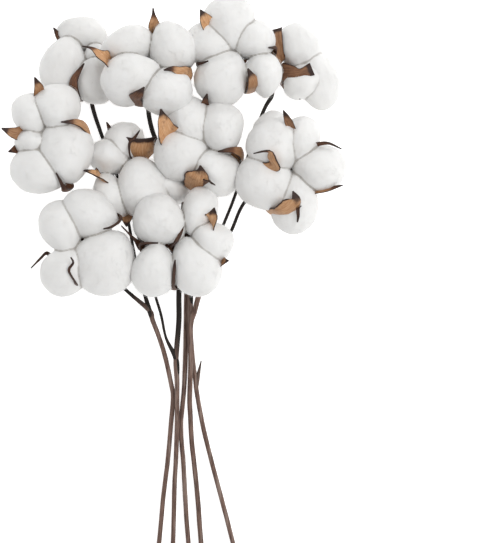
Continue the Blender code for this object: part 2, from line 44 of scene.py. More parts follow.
# Each boll: its eye, where its locks meet, and the way it faces, then its locks and valves,
# which are in the boll's own frame, from the foot of its husk.
# A lock is (x, y, length, width, turn, drop): an egg with its wide end along its turn.
# A valve is (tone, twist, (x, y, z, width), ...): dark to tan, degrees of twist towards its
# tip, and its way from the cup to its tip. Where it is given, "tall" is the thickness of the
# locks along the way that the boll faces.
bolls = {
    "10": dict(eye=(-1.3, 102.1, 71), facing=(0.0, 0.04, 1.0),
               locks=((-12.5, 11.5, 35, 32.5, 150, 0), (12, 17.5, 32.5, 22, 70, 3),
                      (19.5, -1.2, 28.5, 27, -50, 2), (9.5, -17.3, 39, 31, -65, 0),
                      (-16, -19.3, 34.5, 28.5, -100, 0.5)),
               valves=((0.0, 0, (-26, -4, 10, 7), (-29.5, 0, 20, 2.4), (-36.8, 7.7, 25, 0.7)),
                       (0.1, 0, (-24, -8, 12, 5), (-24.8, -3.7, 29, 2), (-13.4, -3.3, 34, 0.7)),
                       (0.0, 0, (-4, -31, 6, 7), (-4.2, -30.4, 22, 2.4), (-3.4, -20.1, 32, 2),
                        (-2.7, -14.1, 36, 0.7)),
                       (0.5, 0, (21, -17, 6, 11), (26.5, -15.8, 18, 8), (30.9, -14.3, 26, 0.8)),
                       (0.9, 0, (18, 8, 8, 10), (20.6, 10.6, 31, 12), (21.6, 14.8, 33.5, 7),
                        (21.9, 18.8, 34, 0.7)),
                       (0.0, 0, (3.5, 24, 8, 5), (3, 17, 18, 2), (0.9, 4.5, 28, 2.4),
                        (-2.2, -2, 32, 2.2), (-5.3, -5.8, 33, 0.8)))),
    "08": dict(eye=(69.9, 141.8, 70), facing=(0.0, -0.06, 1.0),
               locks=((-11.5, 17.5, 35.5, 34.5, 120, 0), (-11.5, 24, 30.5, 25.5, 115, 8),
                      (5, 20.5, 31.5, 23.5, 80, 4), (16.5, 3.5, 33.5, 29.5, -5, 0),
                      (-16.5, -6, 41, 35.5, 143, 0), (1, -18.5, 40.5, 29.5, -97, 1)),
               valves=((0.9, 42, (-27, 9, 10, 11), (-20, 4, 28, 7), (-12.5, 4.3, 36, 8),
                        (-14.7, 9.1, 39.5, 8.5), (-15, 13.2, 41, 5), (-18.5, 14, 41, 2.4),
                        (-25, 12.8, 40, 0.7)),
                       (0.2, 0, (-0.6, 24, 12, 8), (-0.8, 28, 25, 5.5), (-3.4, 34.4, 31, 5),
                        (-6.3, 40.1, 35, 0.7)),
                       (0.5, 0, (10.7, 18, 10, 8), (13, 18.6, 22, 4), (21.7, 19.8, 27, 2.6),
                        (30.4, 15.9, 28, 0.7)),
                       (0.6, 0, (9, -10, 8, 10), (12.5, -11.7, 20, 6), (21.8, -10.2, 26, 4.5),
                        (31.1, -7.3, 28, 0.7)),
                       (0.9, 0, (-14, -26, 10, 12), (-9, -24.6, 33, 9), (-2.2, -21.2, 38, 13),
                        (1.8, -15.8, 40, 7), (-0.4, -10.2, 40.5, 0.7)),
                       (0.0, 0, (9, -24, 8, 6), (3.4, -21, 36, 3), (3.1, -26, 37, 1.8),
                        (2.5, -29.8, 36, 0.7)))),
    "07": dict(eye=(14.5, 156.2, 62), facing=(0.02, 0.0, 1.0),
               locks=((10.5, 15, 34.5, 28.5, 100, 0), (-9.5, 19, 34.5, 27, 108, 2),
                      (-15, -1, 34.5, 33.5, 187, 0), (6.5, -12, 36, 28.5, -32, 1)),
               valves=((0.9, -32, (-20, 7, 10, 14), (-23.1, 11.2, 27, 15), (-25.6, 17.3, 32, 10),
                        (-27.8, 26.6, 34.5, 0.8)),
                       (0.9, 0, (-6, -25, 12, 15), (-5, -18.8, 33, 17), (-3.4, -15.4, 37, 11.5),
                        (-2.7, -12.3, 39, 5), (-3, -8.9, 40, 0.7)),
                       (0.6, 0, (24, -4, 9, 13), (24.1, -0.6, 22, 8), (18.3, 1.1, 30, 4),
                        (13.2, 0.7, 33, 2.5), (8.2, 0, 35, 0.7)),
                       (0.0, 0, (0.6, 27, 10, 8), (0.2, 32.1, 23, 4.5), (1.3, 36.5, 30, 0.8)),
                       (0.0, 0, (-3, -26, 10, 7), (0.7, -18.8, 35, 4.5), (3.5, -20, 35.5, 2.2),
                        (6.3, -21.3, 34, 0.7)))),
    "02": dict(eye=(-20.2, 216.1, 65), facing=(0.0, 0.34, 0.94),
               locks=((-14, 13.5, 35.5, 23.5, 15, 1), (14, 12, 33.5, 29.5, -67, 0),
                      (-12, -10.5, 38.5, 31, 200, -3), (10.5, -18, 34.5, 27.5, 30, 1)),
               valves=((0.6, 0, (3, 21, 10, 5), (3, 25, 22, 7.5), (2.3, 31, 27, 2.2),
                        (2, 34, 30, 0.7)),
                       (0.9, 0, (-22, -3, 8, 13), (-28.3, -1.2, 29, 13), (-32.3, 1.7, 31, 7),
                        (-36.4, 5.4, 31, 2.6), (-42.4, 7.5, 30, 0.7)),
                       (1.0, 0, (26, -5, 8, 12), (24.7, -7.1, 22, 8), (19.8, -9.9, 31, 6),
                        (14.8, -9.8, 35, 3.4), (9.3, -11.8, 38, 0.7)),
                       (0.2, 0, (-8, -24, 8, 12), (-9.6, -27.5, 27, 8), (-7.5, -28.7, 35, 7),
                        (-4.9, -27.2, 39.5, 4), (-2.7, -24.3, 40.5, 0.7)))),
    "09": dict(eye=(-61.7, 98.5, 67), facing=(0.0, 0.03, 1.0),
               locks=((3, 19, 37.5, 31, 168, 0), (-14, 10.5, 35, 28, 108, 2),
                      (-12, -16, 34, 29, 235, 3), (13.2, -10.8, 43, 40, 235, -1)),
               valves=((0.0, 0, (-20, -8, 4, 3), (-24.4, -5, 7, 2.2), (-27.9, -8.4, 13, 1.8),
                        (-33.6, -14.9, 18, 0.7)),
                       (0.0, 0, (-6, -28, 7, 7), (-4.9, -25.2, 28, 1.8), (-8.9, -17.3, 36, 1.6),
                        (-6.1, -12.3, 38, 1.4), (-7.6, -8.9, 39, 0.7)),
                       (0.2, 0, (13, -27, 8, 10), (16.4, -29.6, 17, 6), (20.9, -29.4, 22, 0.8)),
                       (0.25, 0, (20, 18, 9, 7), (24, 17.7, 22, 3), (22.4, 13.6, 30, 1.6),
                        (17.5, 10.3, 33, 1.3), (12.8, 9.1, 34, 0.7)))),
    "05": dict(eye=(-84.4, 167.0, 54), facing=(-0.04, 0.04, 1.0),
               locks=((5, 17.5, 33, 29.5, 105, 0), (-12, 14, 28.5, 24.5, 115, 4),
                      (-11, -3.5, 23.5, 16.5, 185, 4), (11, -9.5, 41.5, 34.5, 97, -2),
                      (-7.5, -22, 36.5, 29.5, 155, 1)),
               valves=((0.5, 0, (-6, 21, 10, 5), (-7.4, 26.2, 20, 6), (-6.6, 30.8, 25, 6),
                        (-8.7, 36.7, 30, 0.7)),
                       (0.4, 0, (-14, 0.6, 6, 9), (-17.5, 1.5, 20, 9), (-22.8, 1.8, 24, 7),
                        (-29.8, 4.5, 27, 0.7)),
                       (0.0, 0, (-16, -7, 6, 8), (-20.5, -7.9, 15, 7), (-26, -10, 22, 0.7)),
                       (0.9, 0, (26, -6.3, 7, 10), (26.2, 0.2, 19, 6), (24.3, 5.6, 27, 7),
                        (18.5, 8.2, 34, 4.5), (8.8, 7.8, 38, 0.7)),
                       (0.0, 0, (12, -32, 7, 6), (10.5, -35.3, 20, 5), (9.3, -32.6, 28, 2.6),
                        (5.4, -24.2, 34, 0.7)))),
    "03": dict(eye=(32.4, 220.2, 57), facing=(0.0, 0.1, 1.0),
               locks=((-2.5, 19, 36.5, 33, 102, 0), (-15.5, 6, 31.5, 26.5, 165, 1),
                      (-7, -15.5, 36.5, 33.5, 235, -1), (12.5, 8.5, 28, 25, 25, 2),
                      (19.5, -13.5, 29, 23, 97, 1)),
               valves=((0.9, 0, (-14, 12, 8, 13), (-14.8, 14.5, 25, 12), (-17.9, 19, 31, 9),
                        (-21, 25.5, 34, 0.7)),
                       (0.0, 0, (-22, -7, 8, 6), (-23.6, -7.6, 22, 2.2), (-20.4, -8.2, 31, 1.6),
                        (-16, -7.4, 35, 0.7)),
                       (0.7, 0, (12, -23, 7, 10), (13.3, -23.8, 26, 9.5), (13.2, -20.4, 33, 8),
                        (9.1, -12.4, 37, 0.7)),
                       (0.0, 0, (-15, -30, 7, 7), (-16.1, -30.3, 18, 3.4), (-12.9, -28.6, 24, 2.2),
                        (-10.4, -25.5, 29, 0.7)),
                       (0.0, 0, (26, 2.2, 8, 7), (27.5, 3.2, 20, 3), (22.4, 2.3, 28, 0.7)))),
    "06": dict(eye=(-36.5, 151.2, 50), facing=(-0.14, 0.2, 0.97),
               locks=((-3, 15, 27.5, 25.5, 85, 4), (-12, 6, 27.5, 22.5, 160, 2),
                      (-11, -19, 31.5, 23, -65, 4), (10, -14, 39.5, 34.5, -75, 0),
                      (27, -14, 22.5, 17.5, 0, 9)),
               valves=((1.0, -90, (10, 2, 6, 12), (8.8, 6.3, 22, 20), (10.1, 10.4, 28, 20),
                        (10.8, 13.9, 31, 20)),
                       (0.0, 0, (4, 4, 8, 6), (3.2, 4.4, 28, 1.6), (3.5, 11.4, 31, 2.2),
                        (6.8, 14.4, 32, 2.4), (9.8, 18.9, 33, 0.7)),
                       (1.0, 0, (-13.5, -11.5, 10, 4), (-16.5, -10.8, 31, 14),
                        (-19.5, -9.2, 34, 8), (-26.4, -6.7, 35, 0.7)),
                       (0.0, 0, (-11, 20, 10, 6), (-11.6, 23, 21, 3.4), (-12.7, 26.2, 28, 0.7)),
                       (0.5, 0, (-2.5, -26, 5, 11), (-0.9, -33, 13, 9), (-0.2, -39.8, 18, 0.8)))),
    "01": dict(eye=(-61.1, 216.1, 37.8), facing=(-0.08, 0.45, 0.89), tall=30.5,
               locks=((-5, 26.5, 33.5, 20.5, -8, 1), (-16, 3.5, 38.5, 30.5, 257, 0),
                      (4.5, -7, 28.5, 27, -82, 2), (4, 11, 18.5, 15.5, 60, 6)),
               valves=((0.0, 0, (-15, 22, 8, 6), (-20, 24.7, 19, 4.4), (-22.6, 27, 26, 0.7)),
                       (0.25, 0, (-8.5, -17, 8, 8), (-8.5, -17.9, 24, 6.5), (-7.8, -12.8, 29, 5.5),
                        (-0.9, -4.2, 34, 0.7)),
                       (0.0, 0, (6, -16, 6, 6), (6.3, -18.5, 14, 3), (11, -18.3, 16, 0.7)))),
    "04": dict(eye=(92.0, 212.6, 27.2), facing=(0.96, 0.19, 0.1), tall=26.5,
               locks=((-2, 14, 31.5, 30, 90, 0), (-3, -8.5, 22.5, 28, -90, 1.5),
                      (4, -8.2, 39, 30.5, 90, -7.5), (11, 6, 30.5, 28.5, 70, -1.5)),
               valves=((0.35, 0, (-10, -3.5, 4, 15), (-16, -5.5, 9.8, 11.5), (-18, -7, 16.4, 6.5),
                        (-18, -5.6, 24.5, 8)),
                       (0.3, -90, (-8, 5, 4, 7), (-12, 12, 4.2, 8), (-13, 19, 4.2, 9.5),
                        (-13, 26, 4.2, 11)),
                       (0.0, 0, (-4, -10, 2.5, 8), (-4, -15.5, 6.4, 5), (-4, -20, 12.2, 0.8)),
                       (0.2, 0, (12, 4, 4, 12), (20, 6, 12, 9), (22, 8, 22, 0.8)))),
}
eyeHeight = 33.0         # from the foot of a husk to where its locks meet


def bollPlace(boll):
    facing = Vector(boll["facing"]).normalized()
    foot = Vector(boll["eye"]) - facing * eyeHeight
    turn = Vector((0, 0, 1)).rotation_difference(facing)
    return Matrix.Translation(foot) @ turn.to_matrix().to_4x4()


def eased(value, low, high):
    part = min(max((value - low) / (high - low), 0), 1)
    return part * part * (3 - 2 * part)


def skinRings(bm, rings):
    # a skin round the rings, closed at both ends
    count = len(rings[0])
    for ring, following in zip(rings, rings[1:]):
        for i in range(count):
            j = (i + 1) % count
            bm.faces.new((ring[i], ring[j], following[j], following[i]))
    bm.faces.new(reversed(rings[0]))
    bm.faces.new(rings[-1])


def makeObject(name, bm, material):
    # from a bmesh in millimetres to a mesh in metres, in the part's frame
    bm.transform(Matrix.Scale(mm, 4) @ Matrix.Translation((*pinch, 0)))
    mesh = bpy.data.meshes.new(name)
    bm.to_mesh(mesh)
    bm.free()
    mesh.materials.append(material)
    mesh.shade_smooth()
    piece = bpy.data.objects.new(name, mesh)
    bpy.context.scene.collection.objects.link(piece)
    return piece


def applyModifiers(piece):
    evaluated = piece.evaluated_get(bpy.context.evaluated_depsgraph_get())
    mesh = bpy.data.meshes.new_from_object(evaluated)
    piece.modifiers.clear()
    mesh.name = piece.name
    piece.data = mesh
    return mesh


def rest(mesh):
    # it lies on the surface, and doesn't sink in
    for vert in mesh.vertices:
        vert.co.z = max(vert.co.z, 0.0)


def addNode(tree, kind, sockets=None, **settings):
    # each socket gets a link or a value
    node = tree.nodes.new(kind)
    for name, value in settings.items():
        setattr(node, name, value)
    for name, value in (sockets or {}).items():
        if isinstance(value, bpy.types.NodeSocket):
            tree.links.new(value, node.inputs[name])
        else:
            node.inputs[name].default_value = value
    return node


def mathNode(tree, operation, first, second=0.0, clamp=False):
    return addNode(tree, "ShaderNodeMath", {0: first, 1: second},
                   operation=operation, use_clamp=clamp).outputs[0]


def scaled(tree, vector, factor):
    return addNode(tree, "ShaderNodeVectorMath", {0: vector, "Scale": factor},
                   operation="SCALE").outputs[0]


def stretched(tree, vector, shares):
    return addNode(tree, "ShaderNodeVectorMath", {0: vector, 1: shares},
                   operation="MULTIPLY").outputs[0]


def mixColour(tree, amount, first, second):
    # a colour mix has its factor in socket 0, and its colours in 6 and 7
    return addNode(tree, "ShaderNodeMix", {0: amount, 6: first, 7: second},
                   data_type="RGBA").outputs[2]


def noiseNode(tree, place, **sockets):
    return addNode(tree, "ShaderNodeTexNoise", {"Vector": place, **sockets}).outputs["Fac"]


def attribute(tree, name, output="Fac"):
    return addNode(tree, "ShaderNodeAttribute", attribute_name=name).outputs[output]


def objectPlace(tree):
    return addNode(tree, "ShaderNodeTexCoord").outputs["Object"]


def ramp(tree, value, low, high):
    # eases from 0 at low to 1 at high
    return addNode(tree, "ShaderNodeMapRange", {0: value, 1: low, 2: high},
                   interpolation_type="SMOOTHSTEP").outputs[0]


def setGloss(tree, shader, value, low, high):
    # the value, from 0 to 1, becomes a roughness from low to high
    gloss = addNode(tree, "ShaderNodeMapRange", {0: value, 3: low, 4: high})
    tree.links.new(gloss.outputs[0], shader.inputs["Roughness"])


def setRelief(tree, shader, height, depth, strength):
    bump = addNode(tree, "ShaderNodeBump", {"Height": height, "Distance": depth,
                                            "Strength": strength})
    tree.links.new(bump.outputs[0], shader.inputs["Normal"])


def startMaterial(name, **values):
    material = bpy.data.materials.new(name)
    material.use_nodes = True
    shader = material.node_tree.nodes["Principled BSDF"]
    for socket, value in values.items():
        shader.inputs[socket.replace("_", " ")].default_value = value
    return material, material.node_tree, shader


lintFinish = dict(bright=(0.79, 0.786, 0.776, 1), dull=(0.755, 0.75, 0.737, 1),
                  brightening=(0.3, 0.68), blotch=90.0, blotchShare=0.7,
                  strands=900.0, strandShare=0.3, strandRelief=0.4, clumps=240.0,
                  # the crease colour below is painted shade, laid into the bottom of creases on
                  # the lint
                  crease=(0.42, 0.40, 0.375, 1), creaseShading=(0.05, 0.9),
                  depth=0.0006, relief=0.25)


def lintMaterial():
    material, tree, shader = startMaterial(
        "cottonLint", Roughness=0.95, Specular_IOR_Level=0.15, Sheen_Weight=0.2,
        Sheen_Roughness=0.6, Subsurface_Weight=0.15, Subsurface_Scale=0.002,
        Subsurface_Radius=(1.0, 0.93, 0.85))
    place = objectPlace(tree)
    blotch = noiseNode(tree, place, Scale=lintFinish["blotch"], Detail=3.0)
    strands = noiseNode(tree, place, Scale=lintFinish["strands"], Detail=4.0,
                        Roughness=0.7, Distortion=2.5)
    clumps = noiseNode(tree, place, Scale=lintFinish["clumps"], Detail=2.0, Distortion=1.2)
    shade = mathNode(tree, "ADD",
                     mathNode(tree, "MULTIPLY", blotch, lintFinish["blotchShare"]),
                     mathNode(tree, "MULTIPLY", strands, lintFinish["strandShare"]))
    colour = mixColour(tree, ramp(tree, shade, *lintFinish["brightening"]),
                       lintFinish["dull"], lintFinish["bright"])
    # painted crease shade: the lint colour turns darker deep in creases
    creaseShade = ramp(tree, attribute(tree, "creaseShade"), *lintFinish["creaseShading"])
    tree.links.new(mixColour(tree, creaseShade, colour, lintFinish["crease"]),
                   shader.inputs["Base Color"])
    raised = mathNode(tree, "MULTIPLY", strands, lintFinish["strandRelief"])
    setRelief(tree, shader, mathNode(tree, "ADD", raised, clumps), lintFinish["depth"],
              lintFinish["relief"])
    return material


huskFinish = dict(tan=(0.56, 0.28, 0.122, 1), paleTan=(0.70, 0.43, 0.24, 1),
                  brown=(0.19, 0.082, 0.038, 1), darkBrown=(0.085, 0.034, 0.018, 1),
                  rim=(0.030, 0.013, 0.009, 1), rimEdge=(0.86, 0.98), rimTip=(0.92, 0.99),
                  raggedEdge=0.25, raggedTip=0.1, narrowDark=-0.8,
                  grain=1.6, grainStretch=(1.1, 0.11, 1.0), grainSpan=(0.36, 0.66),
                  mottle=260.0, mottleSpan=(0.52, 0.75), mottleShare=0.5,
                  gloss=(0.42, 0.68), depth=0.0005, relief=0.5)


def huskMaterial():
    # valvePlace is (side -1 to 1, share of the length, tone from 0, dark, to 1, tan, and
    # below 0 where the valve is narrow)
    # valveGrain is (side, run) in millimetres, so the grain runs along each valve
    material, tree, shader = startMaterial("huskSkin", Specular_IOR_Level=0.35)
    side, along, tone = addNode(tree, "ShaderNodeSeparateXYZ",
                                {0: attribute(tree, "valvePlace", "Vector")}).outputs
    grainPlace = stretched(tree, attribute(tree, "valveGrain", "Vector"),
                           huskFinish["grainStretch"])
    grain = noiseNode(tree, grainPlace, Scale=huskFinish["grain"], Detail=5.0,
                      Roughness=0.6, Distortion=0.4)
    grained = ramp(tree, grain, *huskFinish["grainSpan"])
    mottle = noiseNode(tree, objectPlace(tree), Scale=huskFinish["mottle"], Detail=3.0)
    mottled = mathNode(tree, "MULTIPLY", ramp(tree, mottle, *huskFinish["mottleSpan"]),
                       huskFinish["mottleShare"])
    innerSkin = mixColour(tree, grained, huskFinish["tan"], huskFinish["paleTan"])
    innerSkin = mixColour(tree, mottled, innerSkin, huskFinish["brown"])
    outerSkin = mixColour(tree, grained, huskFinish["darkBrown"], huskFinish["brown"])
    skin = mixColour(tree, mathNode(tree, "ADD", tone, 0.0, clamp=True), outerSkin, innerSkin)
    narrow = mathNode(tree, "MULTIPLY", tone, huskFinish["narrowDark"], clamp=True)
    ragged = mathNode(tree, "MULTIPLY", mathNode(tree, "SUBTRACT", mottle, 0.5),
                      huskFinish["raggedEdge"])
    edge = ramp(tree, mathNode(tree, "ADD", mathNode(tree, "ABSOLUTE", side), ragged),
                *huskFinish["rimEdge"])
    ragged = mathNode(tree, "MULTIPLY", mottle, huskFinish["raggedTip"])
    tip = ramp(tree, mathNode(tree, "ADD", along, ragged), *huskFinish["rimTip"])
    dark = mathNode(tree, "MAXIMUM", mathNode(tree, "MAXIMUM", edge, tip), narrow)
    tree.links.new(mixColour(tree, dark, skin, huskFinish["rim"]), shader.inputs["Base Color"])
    setGloss(tree, shader, grain, *huskFinish["gloss"])
    setRelief(tree, shader, grain, huskFinish["depth"], huskFinish["relief"])
    return material


barkFinish = dict(brown=(0.19, 0.118, 0.092, 1), grey=(0.30, 0.225, 0.19, 1),
                  umber=(0.075, 0.042, 0.033, 1), black=(0.014, 0.010, 0.008, 1),
                  stretch=(1.0, 0.07, 1.0), ridges=1500.0, ridgeSpan=(0.35, 0.62),
                  patches=420.0, patchSpan=(0.48, 0.7), patchShare=0.65,
                  raggedChar=0.6, charSpan=(0.2, 0.8),
                  gloss=(0.55, 0.85), depth=0.0004, relief=0.7)


def barkMaterial():
    material, tree, shader = startMaterial("driedBark", Specular_IOR_Level=0.3)
    place = stretched(tree, objectPlace(tree), barkFinish["stretch"])
    ridges = noiseNode(tree, place, Scale=barkFinish["ridges"], Detail=4.0,
                       Roughness=0.6, Distortion=0.3)
    patches = noiseNode(tree, place, Scale=barkFinish["patches"], Detail=3.0)
    skin = mixColour(tree, ramp(tree, ridges, *barkFinish["ridgeSpan"]),
                     barkFinish["umber"], barkFinish["brown"])
    patched = mathNode(tree, "MULTIPLY", ramp(tree, patches, *barkFinish["patchSpan"]),
                       barkFinish["patchShare"])
    skin = mixColour(tree, patched, skin, barkFinish["grey"])
    ragged = mathNode(tree, "MULTIPLY", mathNode(tree, "SUBTRACT", patches, 0.5),
                      barkFinish["raggedChar"])
    charred = ramp(tree, mathNode(tree, "ADD", attribute(tree, "charred"), ragged),
                   *barkFinish["charSpan"])
    tree.links.new(mixColour(tree, charred, skin, barkFinish["black"]),
                   shader.inputs["Base Color"])
    setGloss(tree, shader, ridges, *barkFinish["gloss"])
    setRelief(tree, shader, ridges, barkFinish["depth"], barkFinish["relief"])
    return material


cutFinish = dict(dark=(0.33, 0.21, 0.12, 1), pale=(0.62, 0.48, 0.32, 1), grain=3500.0)


def cutWoodMaterial():
    material, tree, shader = startMaterial("cutWood", Roughness=0.85)
    fibre = noiseNode(tree, objectPlace(tree), Scale=cutFinish["grain"], Detail=2.0)
    tree.links.new(mixColour(tree, fibre, cutFinish["dark"], cutFinish["pale"]),
                   shader.inputs["Base Color"])
    return material


def startTree(name, taken, made, **inputs):
    # a tree that takes one geometry and makes another, with named inputs
    tree = bpy.data.node_groups.new(name, "GeometryNodeTree")
    face = tree.interface
    face.new_socket(taken, in_out="INPUT", socket_type="NodeSocketGeometry")
    for socket, kind in inputs.items():
        face.new_socket(socket, in_out="INPUT", socket_type="NodeSocket" + kind)
    face.new_socket(made, in_out="OUTPUT", socket_type="NodeSocketGeometry")
    return tree, tree.nodes.new("NodeGroupInput").outputs


def endTree(tree, geometry):
    tree.links.new(geometry, tree.nodes.new("NodeGroupOutput").inputs[0])


def withMaterial(tree, geometry, finish):
    return addNode(tree, "GeometryNodeSetMaterial",
                   {"Geometry": geometry, "Material": finish}).outputs[0]


def inUse(sockets, name="Value"):
    # of sockets that share a name, the one that fits the node's data type
    return [socket for socket in sockets if socket.enabled and socket.name == name][0]


def setInputs(modifier, values):
    # a modifier's inputs are set by their sockets' identifiers
    for socket in modifier.node_group.interface.items_tree:
        if socket.in_out == "INPUT" and socket.name in values:
            modifier[socket.identifier] = values[socket.name]


# Lengths are in millimetres. lump, fold and crease are how uneven a lock is, from coarse to
# fine, each with its pitch. The painted crease shade is darkest at creaseDepth, below
# surroundings that are smoothed creaseReach times.
lint = dict(height=37.5, middle=18.5, droop=3.0, taper=(0.2, 0.1),
            lump=0.9, lumpPitch=1.4, fold=0.28, foldPitch=(1.3, 3.4, 3.0),
            crease=0.08, creasePitch=2.7, subdivisions=5, voxel=0.6,
            softening=0.5, smoothing=1, creaseDepth=0.5, creaseReach=14)
# amount is how many stand on a square metre.
wisps = dict(amount=90000.0, length=4.2, thickness=0.04, seed=11, bends=5, sides=3,
             rise=(0.5, 0.12, 0.34), reach=(1.0, -0.1, -0.05),
             smallest=(0.5, 0.5, 0.3), largest=(1.4, 1.6, 1.5))


def addLock(bm, lock, boll, seed):
    # an egg, wider at one end, which droops there, with soft folds along it
    x, y, length, width, turn, drop = lock
    tall = boll.get("tall", lint["height"])
    stand = (bollPlace(boll) @ Matrix.Translation((x, y, lint["middle"] - drop))
             @ Matrix.Rotation(math.radians(turn), 4, "Z"))
    made = bmesh.ops.create_icosphere(bm, subdivisions=lint["subdivisions"], radius=1.0)
    shift = Vector((seed, turn, 0))
    wider, rounder = lint["taper"]
    foldOut, foldSide, foldUp = lint["foldPitch"]
    for vert in made["verts"]:
        out, side, up = vert.co
        bump = lint["lump"] * noise.noise(Vector((out, side, up)) * lint["lumpPitch"] + shift)
        fine = Vector((out * foldOut, side * foldSide, up * foldUp)) + shift
        bump += (lint["fold"] * noise.noise(fine)
                 + lint["crease"] * noise.noise(fine * lint["creasePitch"]))
        vert.co = stand @ Vector((
            out * (length / 2 + bump),
            side * (width / 2 * (1 + wider * out - rounder * out * out) + bump),
            up * (tall / 2 + bump) - lint["droop"] * ((1 + out) / 2) ** 2))


def wispTree():
    # short loose fibres that arch over a tuft and lie back on it
    tree, given = startTree("lintWisps", "Tuft", "Fluffy", Amount="Float", Length="Float",
                            Thickness="Float", Seed="Int", Finish="Material")
    roots = addNode(tree, "GeometryNodeDistributePointsOnFaces",
                    {"Mesh": given["Tuft"], "Density": given["Amount"], "Seed": given["Seed"]})
    arch = addNode(tree, "GeometryNodeCurveQuadraticBezier",
                   {"Resolution": wisps["bends"], "Start": (0, 0, 0),
                    "Middle": scaled(tree, wisps["rise"], given["Length"]),
                    "End": scaled(tree, wisps["reach"], given["Length"])})
    ring = addNode(tree, "GeometryNodeCurvePrimitiveCircle",
                   {"Resolution": wisps["sides"], "Radius": given["Thickness"]})
    strand = addNode(tree, "GeometryNodeCurveToMesh",
                     {"Curve": arch.outputs[0], "Profile Curve": ring.outputs[0],
                      "Fill Caps": True})
    spin = addNode(tree, "FunctionNodeRandomValue",
                   {0: (0, 0, 0), 1: (0, 0, math.tau), "Seed": given["Seed"]},
                   data_type="FLOAT_VECTOR")
    turned = addNode(tree, "FunctionNodeRotateRotation",
                     {"Rotation": roots.outputs["Rotation"], "Rotate By": spin.outputs[0]},
                     rotation_space="LOCAL")
    size = addNode(tree, "FunctionNodeRandomValue",
                   {0: wisps["smallest"], 1: wisps["largest"]}, data_type="FLOAT_VECTOR")
    spread = addNode(tree, "GeometryNodeInstanceOnPoints",
                     {"Points": roots.outputs["Points"], "Instance": strand.outputs[0],
                      "Rotation": turned.outputs[0], "Scale": size.outputs[0]})
    loose = addNode(tree, "GeometryNodeRealizeInstances", {"Geometry": spread.outputs[0]})
    both = addNode(tree, "GeometryNodeJoinGeometry")
    tree.links.new(loose.outputs[0], both.inputs[0])
    tree.links.new(given["Tuft"], both.inputs[0])
    endTree(tree, withMaterial(tree, both.outputs[0], given["Finish"]))
    return tree


def creaseShadeTree():
    # marks how deep in a crease each point lies, in shares of the given depth, for the painted
    # crease shade on the lint
    tree, given = startTree("lintCreaseShade", "Tuft", "Marked", Depth="Float", Reach="Int")
    spot = addNode(tree, "GeometryNodeInputPosition").outputs[0]
    around = addNode(tree, "GeometryNodeBlurAttribute", {"Iterations": given["Reach"]},
                     data_type="FLOAT_VECTOR")
    tree.links.new(spot, inUse(around.inputs))
    away = addNode(tree, "ShaderNodeVectorMath", {0: inUse(around.outputs), 1: spot},
                   operation="SUBTRACT")
    lift = addNode(tree, "ShaderNodeVectorMath",
                   {0: away.outputs[0], 1: addNode(tree, "GeometryNodeInputNormal").outputs[0]},
                   operation="DOT_PRODUCT").outputs["Value"]
    marked = addNode(tree, "GeometryNodeStoreNamedAttribute",
                     {"Geometry": given["Tuft"], "Name": "creaseShade"},
                     data_type="FLOAT", domain="POINT")
    tree.links.new(mathNode(tree, "DIVIDE", lift, given["Depth"], clamp=True),
                   inUse(marked.inputs))
    endTree(tree, marked.outputs[0])
    return tree


def makeCotton(key, finish, creaseShadeMarks, fluffs):
    boll = bolls[key]
    bm = bmesh.new()
    for lock in boll["locks"]:
        addLock(bm, lock, boll, int(key))
    piece = makeObject("lint_" + key, bm, finish)
    fuse = piece.modifiers.new("Fuse", "REMESH")
    fuse.mode = "VOXEL"
    fuse.voxel_size = lint["voxel"] * mm
    soften = piece.modifiers.new("Soften", "SMOOTH")
    soften.factor = lint["softening"]
    soften.iterations = lint["smoothing"]
    rest(applyModifiers(piece))
    # the lint gets painted shade in its creases
    mark = piece.modifiers.new("CreaseShade", "NODES")
    mark.node_group = creaseShadeMarks
    setInputs(mark, dict(Depth=lint["creaseDepth"] * mm, Reach=lint["creaseReach"]))
    fluff = piece.modifiers.new("Fluff", "NODES")
    fluff.node_group = fluffs
    setInputs(fluff, dict(Amount=wisps["amount"], Length=wisps["length"] * mm,
                          Thickness=wisps["thickness"] * mm, Seed=wisps["seed"] + int(key),
                          Finish=finish))
    mesh = applyModifiers(piece)
    rest(mesh)
    mesh.shade_smooth()
    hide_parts("cotton_" + key)
    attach(piece, "root")


# Lengths are in millimetres. The cup is a profile of (radius, height). A valve starts in it
# at a (radius, height, width), and passes under the cotton at a (share of its first point's
# place, height, share of its width).
husk = dict(cup=((2.4, -0.25), (3.4, 0.1), (5.0, 0.35), (7.0, 1.2), (8.7, 2.3), (8.9, 3.0),
                 (8.2, 3.5), (6.5, 3.2), (3.5, 3.4), (0.4, 3.5)),
            cupSides=60, lobes=5, lobing=0.05, cupRough=0.35, cupRoughPitch=3, cupGrain=8,
            start=(4.0, 1.8, 5.5), under=(0.62, 2.6, 0.7), step=1.3, columns=13,
            narrowest=0.5, wave=0.12, wavePitch=0.25, cupping=0.17, edgeBulge=0.12,
            thick=0.42, thicken=0.035, thickest=0.78, seam=0.7, seamWidth=0.14,
            outerDark=0.25, darkens=(1.5, 5.0), twisting=(0.15, 0.5))


def smoothWay(points, step):
    # points a step apart on a smooth curve through the given ones
    given = [Vector(p) for p in points]
    padded = [given[0] * 2 - given[1]] + given + [given[-1] * 2 - given[-2]]
    way = []
    for a, b, c, d in zip(padded, padded[1:], padded[2:], padded[3:]):
        count = max(1, round((c.xyz - b.xyz).length / step))
        for i in range(count):
            t = i / count
            way.append(((b * 2) + (c - a) * t + (a * 2 - b * 5 + c * 4 - d) * t * t
                        + (b * 3 - a - c * 3 + d) * t * t * t) / 2)
    way.append(given[-1])
    return way


def valveWay(points):
    # out of the cup, under the cotton, and on through the given points
    first = Vector(points[0])
    radius, height, width = husk["start"]
    share, low, narrow = husk["under"]
    aim = first.xy.normalized()
    return smoothWay(((*(aim * radius), height, width),
                      (*(first.xy * share), low, first.w * narrow), *points), husk["step"])


